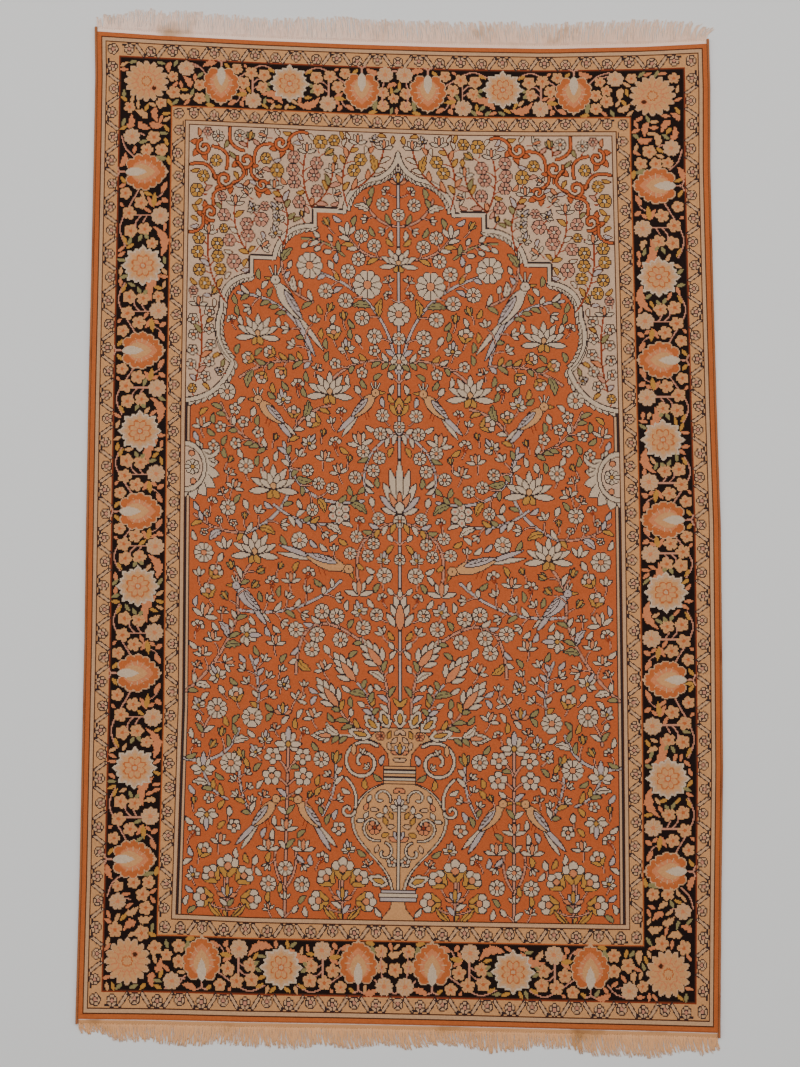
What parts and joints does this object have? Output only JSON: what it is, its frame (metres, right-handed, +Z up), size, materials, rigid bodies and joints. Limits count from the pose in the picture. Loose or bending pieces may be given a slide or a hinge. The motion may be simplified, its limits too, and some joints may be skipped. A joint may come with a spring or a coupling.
{
  "type": "kashmir silk rug",
  "caption": "Small hand-knotted silk prayer rug, laid flat, with a vase and flowering tree under an arch, flower borders, overcast sides and a cut warp fringe at each end.",
  "frame": {"origin": "on the floor, under the middle of the whole rug with its fringes", "axes": "+X across the rug to the right, +Y along it towards the end that the arch points to, +Z up out of the pile"},
  "size_m": [0.7864, 1.292, 0.0049],
  "materials": {
    "silk_pile": "clipped silk pile with a soft nap sheen, rust field, black main border, beige guards",
    "overcast_silk": "orange silk wrapped round the edge warps",
    "warp_thread": "plain-woven and loose cream warp thread"
  },
  "bodies": {
    "root": {"pile_body": "silk_pile", "left_selvedge": "overcast_silk", "right_selvedge": "overcast_silk", "far_fringe": "warp_thread", "near_fringe": "warp_thread"}
  },
  "joints": []
}
